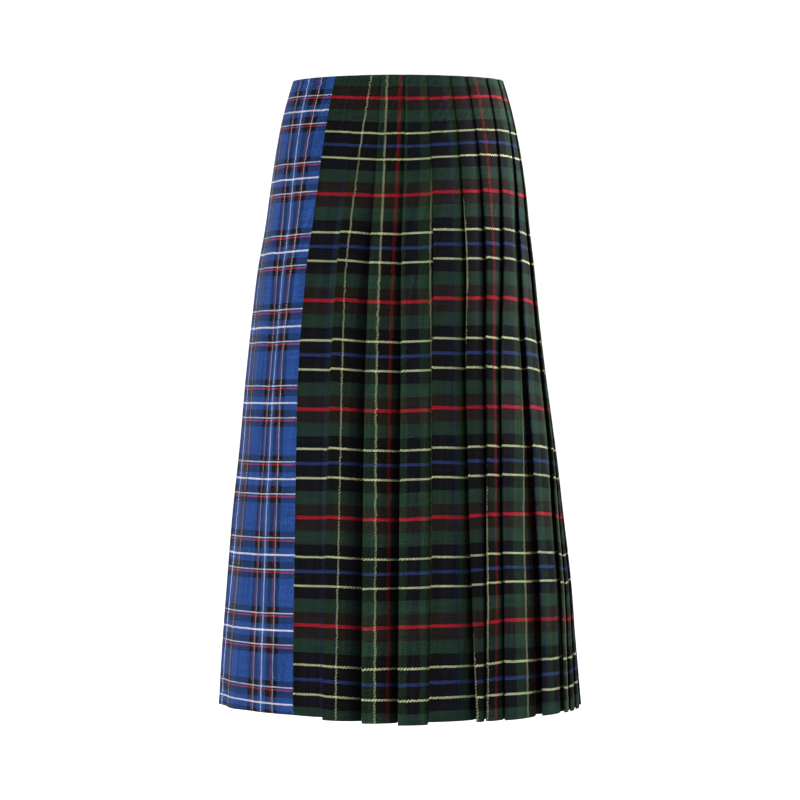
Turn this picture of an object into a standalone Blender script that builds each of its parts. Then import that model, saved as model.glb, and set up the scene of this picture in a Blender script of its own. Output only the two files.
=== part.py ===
"""A midi skirt in the shape it is worn in: a hollow wall of cloth, open at waist and hem.

A flat flared panel covers the left side. Knife pleats, every fold turned the same
way, go round the front, the right side and the back. Metres, +Z up, the front faces -Y.
The origin is the centre of the waist opening, level with its top edge.
"""
import math
from collections import namedtuple

import bmesh
import bpy
import numpy as np
from mathutils import Matrix, Vector

# The cloth
WALL = 0.0012            # thickness of one layer
LAYER_PITCH = 0.0016     # from one layer of a pleat to the next, middle to middle
SEAM_GAP = 0.0003        # between two pieces that are sewn together
WIDEST_UNDERLAY = 0.8    # a pleat's hidden part, as a share of the panel over it
FALL = 1.5               # how late a panel dips towards the next fold, 1 is straight
BACK_FOLDS = 9           # folds spaced evenly between the last listed one and the back seam
SIDE_SEAM_FOLD = 10      # the fold that hides the right side seam
FLAT_STRIPS = 15         # strips round the flat panel

# The concealed zip's slider and tab
ZIP_DROP = 0.0100        # from the top edge down to the slider's middle
SLIDER_SIZE = Vector((0.0050, 0.0020, 0.0090))
EAR_SIZE = Vector((0.0008, 0.0032, 0.0024))
EAR_SPACING = 0.0040     # middle to middle
PIN_RADIUS = 0.00055
PIN_REACH = 0.00185      # from the slider's face out to the pin's axis
TAB_THICKNESS = 0.0010
TAB_LENGTH = 0.0180      # from the pin's axis to the tip
TAB_WIDTH = 0.0056
EYE_RADIUS = 0.0015
EYE_HOLE = 0.00085
EYE_WIDTH = 0.0026
TAB_LEAN = 10.5          # degrees, the tab lies towards the cloth
TAB_NECK = 0.0020        # its width at the eye
ROUND_SIDES = 20

# A ring of the cloth: drop below the top edge, half widths to the two sides, half
# depths to front and back. left_curve over 1 flattens the ring at the front left.
Section = namedtuple("Section", "drop left right front back left_curve")
SECTIONS = (
    Section(0.000, 0.1320, 0.1320, 0.098, 0.094, 1.00),
    Section(0.020, 0.1380, 0.1370, 0.103, 0.102, 1.00),
    Section(0.045, 0.1445, 0.1430, 0.110, 0.110, 1.00),
    Section(0.086, 0.1525, 0.1510, 0.124, 0.122, 1.00),
    Section(0.136, 0.1600, 0.1585, 0.138, 0.136, 1.00),
    Section(0.186, 0.1670, 0.1635, 0.147, 0.145, 1.04),
    Section(0.236, 0.1755, 0.1700, 0.152, 0.150, 1.08),
    Section(0.300, 0.1825, 0.1760, 0.155, 0.154, 1.14),
    Section(0.370, 0.1900, 0.1845, 0.159, 0.158, 1.20),
    Section(0.450, 0.1970, 0.1950, 0.163, 0.163, 1.28),
    Section(0.540, 0.2060, 0.2065, 0.167, 0.168, 1.36),
    Section(0.630, 0.2145, 0.2160, 0.172, 0.173, 1.44),
    Section(0.710, 0.2200, 0.2225, 0.176, 0.176, 1.48),
    Section(0.780, 0.2230, 0.2280, 0.180, 0.179, 1.50),
)

# Drops at which the folds' places are listed
LEVELS = dict(waist=0.0, high_hip=0.10, hip=0.21, thigh=0.36, knee=0.56, hem=0.78)

# A pleat's fold: its place round the ring in degrees from centre front, positive to +X,
# at each level; the depth of cloth hidden beneath it; how far it stands proud of the
# panel that goes under it, at the hip and at the hem.
Fold = namedtuple("Fold", "waist high_hip hip thigh knee hem underlay lift_hip lift_hem")
FRONT_SEAM = Fold(-36.3, -38.0, -40.2, -40.5, -37.0, -34.8, 0.0, 0.0, 0.0)
BACK_SEAM = Fold(216.5, 216.5, 216.5, 216.5, 216.0, 215.5, 0.0, 0.0, 0.0)
FOLDS = (
    Fold(-22.0, -24.2, -26.4, -26.2, -25.2, -24.3, 0.030, 0.0034, 0.0055),
    Fold(-9.3, -10.0, -12.1, -12.6, -12.2, -11.7, 0.030, 0.0032, 0.0042),
    Fold(3.6, 2.8, 1.0, 0.6, 0.1, -0.4, 0.030, 0.0032, 0.0042),
    Fold(15.5, 14.9, 14.3, 12.4, 10.8, 9.0, 0.030, 0.0036, 0.0045),
    Fold(29.1, 29.0, 28.7, 26.0, 24.3, 24.4, 0.024, 0.0034, 0.0045),
    Fold(40.0, 39.8, 38.4, 34.4, 30.5, 27.8, 0.026, 0.0070, 0.0070),
    Fold(55.6, 53.5, 49.2, 41.6, 36.8, 34.6, 0.032, 0.0070, 0.0060),
    Fold(72.6, 68.0, 62.0, 57.5, 53.5, 50.1, 0.030, 0.0080, 0.0130),
    Fold(86.5, 82.0, 78.0, 75.5, 68.5, 61.8, 0.028, 0.0080, 0.0120),
    Fold(99.5, 94.0, 89.0, 83.5, 74.0, 67.4, 0.026, 0.0060, 0.0080),
    Fold(111.5, 105.5, 99.5, 93.5, 83.0, 74.0, 0.028, 0.0050, 0.0070),
)
BACK_UNDERLAY = 0.030
BACK_LIFT_HIP = 0.0040
BACK_LIFT_HEM = 0.0080

# Colour, roughness, metallic
FINISHES = dict(
    blue_check=((0.045, 0.075, 0.19), 0.9, 0.0),
    green_check=((0.022, 0.032, 0.024), 0.9, 0.0),
    zip_metal=((0.03, 0.03, 0.035), 0.4, 0.8),
)

Point = namedtuple("Point", "angle inset")


def smooth_between(places, values, place):
    """Read a smooth curve through a table's values at one place along it."""
    places = np.asarray(places, float)
    values = np.asarray(values, float)
    slopes = np.gradient(values, places)
    i = int(np.clip(np.searchsorted(places, place) - 1, 0, len(places) - 2))
    span = places[i + 1] - places[i]
    t = (place - places[i]) / span
    from_start = (2 * t + 1) * (t - 1) ** 2 * values[i] + t * (t - 1) ** 2 * span * slopes[i]
    from_end = t * t * (3 - 2 * t) * values[i + 1] + t * t * (t - 1) * span * slopes[i + 1]
    return float(from_start + from_end)


def fold_angle(fold, drop):
    """The fold's place round the ring at this drop, in degrees."""
    return smooth_between(list(LEVELS.values()), [getattr(fold, level) for level in LEVELS], drop)


def fold_lift(fold, drop):
    """How far the fold stands proud: sewn flat at the waist, then free to open."""
    drops = [LEVELS["waist"], LEVELS["hip"], LEVELS["hem"]]
    lift = np.interp(drop, drops, [0.0, fold.lift_hip, fold.lift_hem])
    return max(float(lift), 2 * LAYER_PITCH)


def all_folds():
    """The listed folds, then the even ones of the back, up to the back seam."""
    folds = list(FOLDS)
    last = FOLDS[-1]
    for i in range(1, BACK_FOLDS + 1):
        share = i / (BACK_FOLDS + 1)
        angles = {level: getattr(last, level) * (1 - share) + getattr(BACK_SEAM, level) * share
                  for level in LEVELS}
        folds.append(Fold(underlay=BACK_UNDERLAY, lift_hip=BACK_LIFT_HIP,
                          lift_hem=BACK_LIFT_HEM, **angles))
    return folds


def on_ring(section, angle):
    """The point of the ring at an angle, with nothing set in."""
    sine = math.sin(math.radians(angle))
    cosine = math.cos(math.radians(angle))
    x = (section.left if sine < 0 else section.right) * sine
    if cosine < 0:
        return Vector((x, -section.back * cosine, -section.drop))
    curve = section.left_curve if sine < 0 else 1.0
    return Vector((x, -section.front * cosine ** curve, -section.drop))


def along_ring(section, angle, step=0.5):
    """The ring's travel per degree, as a vector along it."""
    return (on_ring(section, angle + step) - on_ring(section, angle - step)) / (2 * step)


def place(section, point):
    """A point of the cloth: on the ring, set in by its inset."""
    travel = along_ring(section, point.angle).normalized()
    outward = Vector((travel.y, -travel.x, 0.0))
    return on_ring(section, point.angle) - outward * point.inset


def degrees_for(section, angle, length):
    """The angle that a length takes up along the ring."""
    return length / along_ring(section, angle).length


class Pleat:
    """One pleat at one ring: the panel from its fold to the next, and what lies under it."""

    def __init__(self, section, fold, next_fold, lift_at_next):
        self.start = fold_angle(fold, section.drop)
        self.end = fold_angle(next_fold, section.drop)
        self.lift = fold_lift(fold, section.drop)
        self.next_lift = lift_at_next
        width = self.end - self.start
        underlay = degrees_for(section, self.start, fold.underlay)
        self.depth = min(underlay, WIDEST_UNDERLAY * width)
        steepness = FALL * lift_at_next / (width * along_ring(section, self.start).length)
        self.pitch = LAYER_PITCH * math.hypot(1.0, steepness)
        self.deepest = 2 * self.pitch + self.panel_inset(self.depth)

    def panel_inset(self, degrees):
        """How far the panel lies inside the ring, so many degrees past its fold."""
        return self.next_lift * (degrees / (self.end - self.start)) ** FALL

    def under_layer(self):
        """The panel before this one, on its way under the fold to the hidden fold."""
        half = (self.lift + self.deepest) / 2
        return [Point(self.start, self.lift),
                Point(self.start + self.depth / 2, half),
                Point(self.start + self.depth, self.deepest)]

    def middle_layer(self):
        """Back from the hidden fold to the fold that shows."""
        inner = self.deepest - self.pitch
        return [Point(self.start + self.depth, inner),
                Point(self.start + self.depth / 2, (inner + self.pitch) / 2),
                Point(self.start, self.pitch)]

    def panel(self):
        """The panel that shows."""
        return [Point(self.start + share * self.depth, self.panel_inset(share * self.depth))
                for share in (0.0, 0.5, 1.0)]


def pleats_at(section):
    """Every pleat of the skirt at one ring, in order."""
    folds = all_folds() + [BACK_SEAM]
    pleats = []
    for fold, next_fold in zip(folds, folds[1:]):
        lift = 0.0 if next_fold is BACK_SEAM else fold_lift(next_fold, section.drop)
        pleats.append(Pleat(section, fold, next_fold, lift))
    return pleats


def front_path(section):
    """The pleated front: from the blue seam to the side seam, hidden under a fold."""
    pleats = pleats_at(section)
    first = pleats[0]
    seam = fold_angle(FRONT_SEAM, section.drop)
    start = seam + degrees_for(section, seam, SEAM_GAP / 2)
    path = [Point(start + share * (first.start - start), first.lift * share ** FALL)
            for share in (0.0, 1 / 3, 2 / 3)]
    for pleat in pleats[:SIDE_SEAM_FOLD - 1]:
        path += pleat.under_layer() + pleat.middle_layer() + pleat.panel()
    return path + pleats[SIDE_SEAM_FOLD - 1].under_layer()


def back_path(section):
    """The pleated back: from the side seam round to the blue panel."""
    pleats = pleats_at(section)[SIDE_SEAM_FOLD - 1:]
    path = pleats[0].middle_layer() + pleats[0].panel()
    for pleat in pleats[1:]:
        path += pleat.under_layer() + pleat.middle_layer() + pleat.panel()
    seam = fold_angle(BACK_SEAM, section.drop)
    return path + [Point(seam - degrees_for(section, seam, SEAM_GAP / 2), 0.0)]


def side_path(section):
    """The flat panel: from the back seam round the left side to the front seam."""
    back = fold_angle(BACK_SEAM, section.drop) - 360
    front = fold_angle(FRONT_SEAM, section.drop)
    start = back + degrees_for(section, back, SEAM_GAP / 2)
    end = front - degrees_for(section, front, SEAM_GAP / 2)
    return [Point(angle, 0.0) for angle in np.linspace(start, end, FLAT_STRIPS + 1)]


def make_material(name):
    """A plain material with the cloth's or the metal's main colour."""
    colour, roughness, metallic = FINISHES[name]
    material = bpy.data.materials.new(name)
    material.use_nodes = True
    shader = material.node_tree.nodes["Principled BSDF"]
    shader.inputs["Base Color"].default_value = (*colour, 1.0)
    shader.inputs["Roughness"].default_value = roughness
    shader.inputs["Metallic"].default_value = metallic
    return material


def add_object(name, data, material, collection):
    """Put a mesh in the skirt's collection as a named object."""
    obj = bpy.data.objects.new(name, data)
    obj.data.materials.append(material)
    collection.objects.link(obj)
    return obj


def cloth_panel(name, path_at, material, collection):
    """An open sheet through the rings' paths, thickened to a wall."""
    mesh = bpy.data.meshes.new(name)
    work = bmesh.new()
    paths = [path_at(section) for section in SECTIONS]
    rings = [[work.verts.new(place(section, point)) for point in path]
             for section, path in zip(SECTIONS, paths)]
    for upper, lower in zip(rings, rings[1:]):
        for i in range(len(upper) - 1):
            # Layers that lie on each other are split along the same diagonal
            if paths[0][i + 1].angle >= paths[0][i].angle:
                work.faces.new((upper[i], lower[i], lower[i + 1]))
                work.faces.new((upper[i], lower[i + 1], upper[i + 1]))
            else:
                work.faces.new((upper[i], lower[i], upper[i + 1]))
                work.faces.new((lower[i], lower[i + 1], upper[i + 1]))
    work.to_mesh(mesh)
    work.free()
    obj = add_object(name, mesh, material, collection)
    wall = obj.modifiers.new("Wall", "SOLIDIFY")
    wall.thickness = WALL
    wall.offset = 0.0
    wall.use_even_offset = True
    return obj


def zip_frame(collection):
    """An empty on the back seam: X along the ring, Y out of the cloth, Z up the seam."""
    top, lower = SECTIONS[0], SECTIONS[1]
    angle = fold_angle(BACK_SEAM, 0.0)
    share = ZIP_DROP / lower.drop
    upper_point = on_ring(top, angle)
    lower_point = on_ring(lower, angle)
    up = (upper_point - lower_point).normalized()
    outward = along_ring(top, angle).cross(up).normalized()
    across = outward.cross(up)
    empty = bpy.data.objects.new("zip_place", None)
    empty.empty_display_size = 0.01
    turn = Matrix((across, outward, up)).transposed().to_4x4()
    empty.matrix_world = Matrix.Translation(upper_point.lerp(lower_point, share)) @ turn
    collection.objects.link(empty)
    return empty


def add_box(work, size, centre):
    """A box in a bmesh."""
    scale = Matrix.Diagonal((*size, 1.0))
    bmesh.ops.create_cube(work, size=1.0, matrix=Matrix.Translation(centre) @ scale)


def add_round(work, radius, length, centre):
    """A cylinder along X in a bmesh."""
    turn = Matrix.Rotation(math.radians(90), 4, "Y")
    bmesh.ops.create_cone(work, cap_ends=True, segments=ROUND_SIDES, radius1=radius,
                          radius2=radius, depth=length, matrix=Matrix.Translation(centre) @ turn)


def mesh_from(name, build):
    """A mesh from a function that fills a bmesh."""
    mesh = bpy.data.meshes.new(name)
    work = bmesh.new()
    build(work)
    work.to_mesh(mesh)
    work.free()
    return mesh


def union_with(obj, tool, operation="UNION"):
    """Join or cut an object with a tool object."""
    boolean = obj.modifiers.new(f"{operation.title()} {tool.name}", "BOOLEAN")
    boolean.operation = operation
    boolean.object = tool
    boolean.solver = "EXACT"


def add_tool(name, mesh, parent, cutters):
    """A tool object for a Boolean, hidden from the render."""
    tool = bpy.data.objects.new(name, mesh)
    tool.hide_render = True
    tool.display_type = "WIRE"
    tool.parent = parent
    cutters.objects.link(tool)
    return tool


def pin_place():
    """The pin's axis in the zip's frame."""
    face = WALL / 2 + SEAM_GAP + SLIDER_SIZE.y
    return Vector((0.0, face + PIN_REACH, 0.0))


def make_slider(parent, material, collection, cutters):
    """The slider that shows on the seam, two ears on it and the pin between them."""
    middle = Vector((0.0, WALL / 2 + SEAM_GAP + SLIDER_SIZE.y / 2, 0.0))
    body = mesh_from("zip_slider", lambda work: add_box(work, SLIDER_SIZE, middle))
    slider = add_object("zip_slider", body, material, collection)
    slider.parent = parent
    edge = slider.modifiers.new("Edges", "BEVEL")
    edge.width = 0.0005
    edge.segments = 2
    edge.limit_method = "ANGLE"

    def ears(work):
        root = pin_place().y - EAR_SIZE.y / 2 + PIN_RADIUS * 2
        for side in (-1, 1):
            add_box(work, EAR_SIZE, Vector((side * EAR_SPACING / 2, root, 0.0)))

    def pin(work):
        add_round(work, PIN_RADIUS, EAR_SPACING, pin_place())

    for name, build in (("zip_ears", ears), ("zip_pin", pin)):
        union_with(slider, add_tool(name, mesh_from(name, build), parent, cutters))
    return slider


def tab_outline():
    """The flat tab seen from outside: narrow at the eye, wide and round at the tip."""
    half_top = TAB_NECK / 2
    half_tip = TAB_WIDTH / 2
    centre = -(TAB_LENGTH - half_tip)
    arc = [Vector((half_tip * math.cos(turn), centre + half_tip * math.sin(turn)))
           for turn in np.linspace(0.0, -math.pi, ROUND_SIDES // 2 + 1)]
    shoulder = -2.2 * EYE_RADIUS
    return ([Vector((half_top, 0.0)), Vector((half_top, shoulder))] + arc
            + [Vector((-half_top, shoulder)), Vector((-half_top, 0.0))])


def make_tab(parent, material, collection, cutters):
    """The pull tab, its origin on the pin's axis."""
    def plate(work):
        corners = [work.verts.new((p.x, -TAB_THICKNESS / 2, p.y)) for p in tab_outline()]
        face = work.faces.new(corners)
        grown = bmesh.ops.extrude_face_region(work, geom=[face])["geom"]
        moved = [item for item in grown if isinstance(item, bmesh.types.BMVert)]
        bmesh.ops.translate(work, verts=moved, vec=(0.0, TAB_THICKNESS, 0.0))
        bmesh.ops.recalc_face_normals(work, faces=work.faces)

    tab = add_object("zip_pull", mesh_from("zip_pull", plate), material, collection)
    tab.parent = parent
    tab.location = pin_place()
    tab.rotation_euler.x = math.radians(-TAB_LEAN)
    eye = mesh_from("zip_eye", lambda work: add_round(work, EYE_RADIUS, EYE_WIDTH, Vector()))
    hole = mesh_from("zip_eye_hole",
                     lambda work: add_round(work, EYE_HOLE, 2 * EYE_WIDTH, Vector()))
    union_with(tab, add_tool("zip_eye", eye, tab, cutters))
    union_with(tab, add_tool("zip_eye_hole", hole, tab, cutters), "DIFFERENCE")
    return tab


def main():
    for obj in list(bpy.data.objects):
        bpy.data.objects.remove(obj)
    skirt = bpy.data.collections.new("midi_skirt")
    cutters = bpy.data.collections.new("cutters")
    for collection in (skirt, cutters):
        bpy.context.scene.collection.children.link(collection)
    blue, green, metal = (make_material(name) for name in FINISHES)
    cloth_panel("side_panel", side_path, blue, skirt)
    cloth_panel("front_panel", front_path, green, skirt)
    cloth_panel("back_panel", back_path, green, skirt)
    seam = zip_frame(skirt)
    make_slider(seam, metal, skirt, cutters)
    make_tab(seam, metal, skirt, cutters)


main()
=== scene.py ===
import bpy, math
import numpy as np
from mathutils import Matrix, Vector


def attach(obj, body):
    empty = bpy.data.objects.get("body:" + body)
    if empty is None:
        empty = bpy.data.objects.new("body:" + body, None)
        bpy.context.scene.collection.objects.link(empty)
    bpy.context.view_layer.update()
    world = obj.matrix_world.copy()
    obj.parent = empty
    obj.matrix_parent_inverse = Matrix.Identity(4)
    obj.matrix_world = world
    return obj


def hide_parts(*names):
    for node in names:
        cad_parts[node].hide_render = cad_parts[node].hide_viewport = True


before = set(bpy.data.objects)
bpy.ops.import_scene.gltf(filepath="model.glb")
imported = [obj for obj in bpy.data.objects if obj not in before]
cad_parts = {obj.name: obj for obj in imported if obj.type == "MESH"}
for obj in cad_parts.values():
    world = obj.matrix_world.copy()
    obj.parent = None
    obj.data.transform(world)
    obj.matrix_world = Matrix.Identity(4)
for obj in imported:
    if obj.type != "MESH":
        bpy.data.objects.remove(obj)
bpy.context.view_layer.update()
mm = 0.001

# The skirt's ring at each drop below the top edge, in metres. leftCurve over 1 flattens
# the ring at the front left.
ring = {
    "drop":      (0.000, 0.020, 0.045, 0.086, 0.136, 0.186, 0.236,
                  0.300, 0.370, 0.450, 0.540, 0.630, 0.710, 0.780),
    "left":      (0.1305, 0.1364, 0.1430, 0.1510, 0.1583, 0.1652, 0.1740,
                  0.1815, 0.1888, 0.1957, 0.2050, 0.2120, 0.2178, 0.2216),
    "right":     (0.1306, 0.1368, 0.1434, 0.1518, 0.1594, 0.1643, 0.1700,
                  0.1763, 0.1847, 0.1960, 0.2067, 0.2178, 0.2244, 0.2302),
    "front":     (0.098, 0.103, 0.110, 0.124, 0.138, 0.147, 0.152,
                  0.155, 0.159, 0.163, 0.167, 0.172, 0.176, 0.180),
    "back":      (0.094, 0.102, 0.110, 0.122, 0.136, 0.145, 0.150,
                  0.154, 0.158, 0.163, 0.168, 0.173, 0.176, 0.179),
    "leftCurve": (1.00, 1.00, 1.00, 1.00, 1.00, 1.04, 1.08,
                  1.14, 1.20, 1.28, 1.36, 1.44, 1.48, 1.50),
}
cloth = {
    "length": 0.780,      # top edge to hem
    "thickness": 0.0009,
    "layerPitch": 0.0013, # layer to layer in a pressed pleat
    "rows": 104,
    "seamGap": 0.0004,
    "fall": 2.5,          # how late a panel dips towards the next fold
    "widestUnderlay": 0.8,    # of the panel's own width
    "slantRoom": 0.6,     # how much more room slanting layers take
    "layerColumns": 6,    # columns across one hidden layer
    "underShorter": 0.6,  # how much less the hidden layers hang down, millimetres
    "middleShorter": 0.4,
    "seamTurns": (1.6, 0.4),  # how far in the cloth turns at a seam, millimetres
    "hipDrop": 0.21,
    "sharpFrom": 60,      # degrees
}

# Places round the ring in degrees from centre front, positive to +X, at these drops
foldDrops = (0.0, 0.10, 0.21, 0.36, 0.56, 0.78)
frontSeam = (-35.6, -37.3, -39.3, -40.0, -37.4, -35.3)
backSeam = (216.5, 216.5, 216.5, 216.5, 216.0, 215.5)

# One row a fold: its places, the hidden depth of cloth, how far it stands proud at hip
# and hem, and the warp check's place on the fold, in millimetres from the red line
foldTable = [
    ((-20.9, -23.2, -24.7, -25.4, -24.9, -24.0), 30, 3.4, 5.5, (23.7, 24.4, 27.4, 24.4, 21.5, 21.2)),
    ((-8.3, -9.3, -10.9, -11.7, -11.5, -11.0), 30, 9.0, 13.0, (109.7, 107.4, 104.7, 103.5, 101.5, 101.3)),
    ((4.5, 3.3, 1.8, 1.4, 0.7, 0.2), 30, 8.0, 12.0, (83.7, 82.2, 81.4, 78.9, 76.2, 75.3)),
    ((16.6, 15.7, 15.2, 13.2, 11.4, 9.5), 30, 4.0, 5.5, (55.1, 48.5, 46.6, 44.6, 42.0, 41.9)),
    ((29.8, 29.8, 30.0, 27.1, 24.9, 24.7), 24, 8.0, 10.0, (44.4, 42.0, 39.2, 41.0, 43.0, 38.2)),
    ((40.8, 40.6, 40.1, 36.1, 31.2, 27.8), 26, 8.0, 8.5, (121.5, 121.1, 120.6, 120.9, 116.9, 114.6)),
    ((57.4, 54.5, 51.2, 43.7, 37.8, 34.6), 32, 7.0, 7.0, (92.6, 89.8, 85.7, 83.3, 89.6, 88.0)),
    ((72.8, 69.4, 64.8, 60.0, 54.7, 50.4), 30, 8.0, 13.0, (73.6, 73.5, 71.0, 70.5, 70.5, 64.5)),
    ((86.5, 82.5, 82.0, 80.5, 70.2, 62.6), 28, 6.0, 8.0, (113.0, 112.0, 110.0, 110.0, 110.0, 109.0)),
    ((99.5, 94.0, 90.0, 86.5, 75.5, 67.6), 26, 5.0, 5.0, (24.0, 24.0, 24.0, 24.0, 24.0, 24.0)),
    ((111.5, 105.5, 99.5, 94.5, 84.0, 74.5), 28, 4.0, 4.0, (60.0, 60.0, 60.0, 60.0, 60.0, 60.0)),
]
backPleats = {"count": 9, "underlay": 30, "hip": 4.0, "hem": 8.0, "checkStep": 101.4}
sideSeamFold = 10         # the fold that hides the right side seam
panelColumns = 16         # strips across the part of a panel that shows

# How far each panel's weft lines lie off the even check, millimetres, at these drops, first
# at the panel's left side and then at its right. One entry a panel from the front seam on,
# and the last for all that lie further round.
weftDrops = (0.028, 0.092, 0.158, 0.240, 0.360, 0.590, 0.705, 0.745)
weftShifts = [
    ((-1.3, -6.2, -8.6, -8.8, -6.7, -4.2, -4.1, -3.4),
     (1.0, -3.3, -6.0, -6.8, -5.6, -4.2, -4.0, -3.4)),
    ((1.2, -2.6, -6.8, -8.7, -7.5, -5.2, -3.7, -2.6),
     (1.8, -0.9, -4.2, -5.3, -4.6, -3.3, -3.0, -1.1)),
    ((2.4, -0.1, -3.9, -4.8, -4.1, -2.4, -1.2, 0.4),
     (1.4, -1.1, -4.0, -4.1, -3.7, -2.8, -3.6, -0.4)),
    ((2.6, -0.2, -3.9, -4.1, -3.9, -2.9, -3.1, 0.7),
     (1.4, -2.2, -6.5, -6.3, -5.5, -4.3, -3.5, -0.4)),
    ((2.3, -3.3, -8.8, -9.8, -8.4, -5.9, -4.8, -2.5),
     (-0.4, -6.4, -11.0, -10.7, -8.4, -5.7, -5.2, -3.6)),
    ((0.5, -6.9, -11.2, -11.0, -9.3, -7.3, -5.5, -2.5),
     (-1.7, -9.2, -12.8, -11.8, -9.6, -7.9, -6.2, -2.9)),
    ((-2.5, -9.7, -13.5, -13.2, -10.6, -9.0, -7.3, -3.9),
     (-4.2, -10.4, -13.3, -11.7, -8.2, -7.9, -8.4, -4.6)),
    ((-4.5, -10.6, -13.8, -12.8, -9.5, -8.6, -8.3, -4.0),
     (-3.8, -9.3, -11.9, -10.6, -7.6, -6.7, -7.4, -3.7)),
    ((-2.0, -8.4, -11.1, -10.8, -8.8, -7.4, -7.5, -5.1),
     (-2.2, -7.1, -8.6, -6.0, -3.3, -3.3, -5.4, -3.2)),
    ((-2.0, -8.4, -11.1, -8.3, -4.8, -1.0, -3.1, -2.0),
     (-2.2, -7.1, -8.6, -4.5, 0.2, 4.7, 0.9, 0.8)),
    ((-2.2, -7.7, -9.5, -5.9, -0.8, 3.4, -0.2, -0.2),
     (-2.0, -7.4, -9.1, -5.4, 0.0, 4.1, 0.3, 0.3)),
]
# Folds whose panel shows its check wider or narrower than its own size, at the fold drops.
# -1 is the panel before the first fold.
checkStretch = {
    -1: (0.85, 0.90, 0.90, 0.82, 0.82, 0.82),
    3: (1.0, 1.0, 1.0, 1.0, 0.95, 0.82),
    5: (1.0, 1.0, 1.0, 1.0, 1.2, 1.5),
    6: (0.76, 0.76, 0.76, 0.76, 0.76, 0.78),
}


def smoothCurve(places, values, at):
    # A smooth curve through a table, read at an array of places
    places, values = np.asarray(places, float), np.asarray(values, float)
    slopes = np.gradient(values, places)
    i = np.clip(np.searchsorted(places, at) - 1, 0, len(places) - 2)
    span = places[i + 1] - places[i]
    t = (at - places[i]) / span
    fromStart = (2 * t + 1) * (t - 1) ** 2 * values[i] + t * (t - 1) ** 2 * span * slopes[i]
    fromEnd = t * t * (3 - 2 * t) * values[i + 1] + t * t * (t - 1) * span * slopes[i + 1]
    return fromStart + fromEnd


rowDrops = np.linspace(0.0, cloth["length"], cloth["rows"])
ringRows = {name: smoothCurve(ring["drop"], values, rowDrops)[:, None]
            for name, values in ring.items() if name != "drop"}
gentleWaves = (           # turns round the skirt, phase, millimetres at the hem
    (5, 0.6, 0.9), (9, 2.1, 0.7), (14, 4.0, 0.5),
)
waistSag = (2.2, 1.2)     # how much lower the top edge lies at the left and right, millimetres


def onRing(angle, inset):
    # Rows by columns of degrees and insets to points. The inset goes in from the ring.
    def ringAt(degrees):
        sine, cosine = np.sin(np.radians(degrees)), np.cos(np.radians(degrees))
        curve = np.where(sine < 0, ringRows["leftCurve"], 1.0)
        x = np.where(sine < 0, ringRows["left"], ringRows["right"]) * sine
        y = np.where(cosine < 0, -ringRows["back"] * cosine,
                     -ringRows["front"] * np.maximum(cosine, 0.0) ** curve)
        return x, y

    beside = 0.5            # degrees to each side, to find which way is out
    x, y = ringAt(angle)
    xAfter, yAfter = ringAt(angle + beside)
    xBefore, yBefore = ringAt(angle - beside)
    dx, dy = xAfter - xBefore, yAfter - yBefore
    size = np.hypot(dx, dy)
    down = rowDrops[:, None] / cloth["length"]
    wave = sum(millimetres * mm * np.sin(turns * np.radians(angle) + phase + 2 * down)
               for turns, phase, millimetres in gentleWaves) * down ** 1.5
    out = wave - inset
    sag = np.where(x < 0, *waistSag) * mm * np.sin(np.radians(angle)) ** 2 * (1 - down) ** 6
    z = -rowDrops[:, None] - sag
    return np.stack([x + out * dy / size, y - out * dx / size, z], axis=-1)


def metresPerDegree(angle):
    # How much ring one degree takes, at one angle for each row
    angle = angle[:, None]
    here, there = onRing(angle, 0 * angle), onRing(angle + 1.0, 0 * angle)
    return np.linalg.norm((there - here)[:, 0], axis=-1)


def hipToHem(start, hip, hem, drops):
    # Nothing down to the start, and from there to the hip's value and on to the hem's
    return np.interp(drops, (start, cloth["hipDrop"], cloth["length"]), (0.0, hip, hem))


def foldList():
    folds = []
    for places, underlay, hip, hem, check in foldTable:
        folds.append({"angle": smoothCurve(foldDrops, places, rowDrops), "underlay": underlay * mm,
                      "lift": (hip * mm, hem * mm),
                      "check": smoothCurve(foldDrops, check, rowDrops) * mm})
    last = folds[-1]
    end = smoothCurve(foldDrops, backSeam, rowDrops)
    for i in range(1, backPleats["count"] + 1):
        share = i / (backPleats["count"] + 1)
        folds.append({"angle": last["angle"] * (1 - share) + end * share,
                      "underlay": backPleats["underlay"] * mm,
                      "lift": (backPleats["hip"] * mm, backPleats["hem"] * mm),
                      "check": last["check"] + i * backPleats["checkStep"] * mm})
    for fold in folds:
        fold["lift"] = np.maximum(hipToHem(0.0, *fold["lift"], rowDrops), 2 * cloth["layerPitch"])
    return folds


folds = foldList()
seamFront = smoothCurve(foldDrops, frontSeam, rowDrops)
seamBack = smoothCurve(foldDrops, backSeam, rowDrops)

# How much lower each panel hangs at the hem, millimetres. The last goes for the rest.
hemDrops = (-2.6, 0.2, 2.0, 4.0, 0.2, 2.0, 1.5, 1.8, 0.4, 0.4, 0.6)

# Painted shade: the cloth's colour darkens as it runs in under the next fold, from and to these
# shares of a panel, most where that fold stands this proud, less at the side than at the front
pleatShade = {"from": 0.36, "to": 0.88, "start": 5.5, "full": 10.5, "hidden": 0.4}
mostShade = ((-20.0, 25.0, 60.0), (0.82, 0.66, 0.45))    # degrees round, share of light lost


def shadeAt(share, nextLift, nextAngle):
    # The share of its colour that a column of a panel keeps under the painted shade
    across = np.clip((share - pleatShade["from"]) / (pleatShade["to"] - pleatShade["from"]), 0.0, 1.0)
    height = nextLift / mm - pleatShade["start"]
    proud = np.clip(height / (pleatShade["full"] - pleatShade["start"]), 0.0, 1.0)
    return 1.0 - np.interp(nextAngle, *mostShade) * proud * across * across * (3 - 2 * across)


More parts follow.
